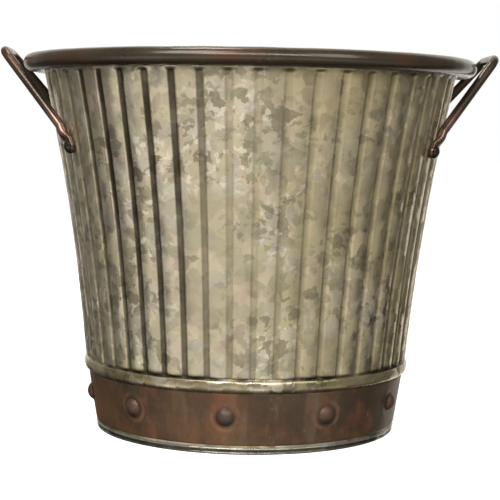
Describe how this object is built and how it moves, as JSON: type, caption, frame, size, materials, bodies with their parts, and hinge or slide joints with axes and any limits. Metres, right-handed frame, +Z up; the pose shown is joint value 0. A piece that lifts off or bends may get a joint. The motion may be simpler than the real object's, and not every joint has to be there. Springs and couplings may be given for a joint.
{
  "type": "florist bucket",
  "caption": "Flared, fluted sheet-metal florist bucket with a rolled rim, a riveted copper-brown band round its foot and a fixed wire handle on each side.",
  "frame": {"origin": "centre of the foot on the table, at the bottom of the folded seam", "axes": "+Z up along the bucket's axis, -Y towards the front, the handles at +X and -X"},
  "size_m": [0.3064, 0.2798, 0.2344],
  "materials": {
    "galvanised_wall": "weathered zinc spangle, satin",
    "bronze_paint": "dark bronze, semi-gloss",
    "plain_steel": "plain zinc-plated steel",
    "galvanised_base": "galvanised, satin",
    "copper_band": "aged copper-brown, satin",
    "copper_rivet": "aged copper-brown, satin",
    "handle_bronze": "dark bronze with worn copper, semi-gloss",
    "handle_rivet": "dark bronze, semi-gloss"
  },
  "bodies": {
    "root": {"side_wall": "galvanised_wall", "rim_roll": "bronze_paint", "rim_wire": "plain_steel", "base_pan": "galvanised_base", "skirt_band": "copper_band", "band_rivets": "copper_rivet", "left_handle": "handle_bronze", "right_handle": "handle_bronze", "left_handle_rivets": "handle_rivet", "right_handle_rivets": "handle_rivet", "left_handle_washers": "plain_steel", "right_handle_washers": "plain_steel"}
  },
  "joints": []
}
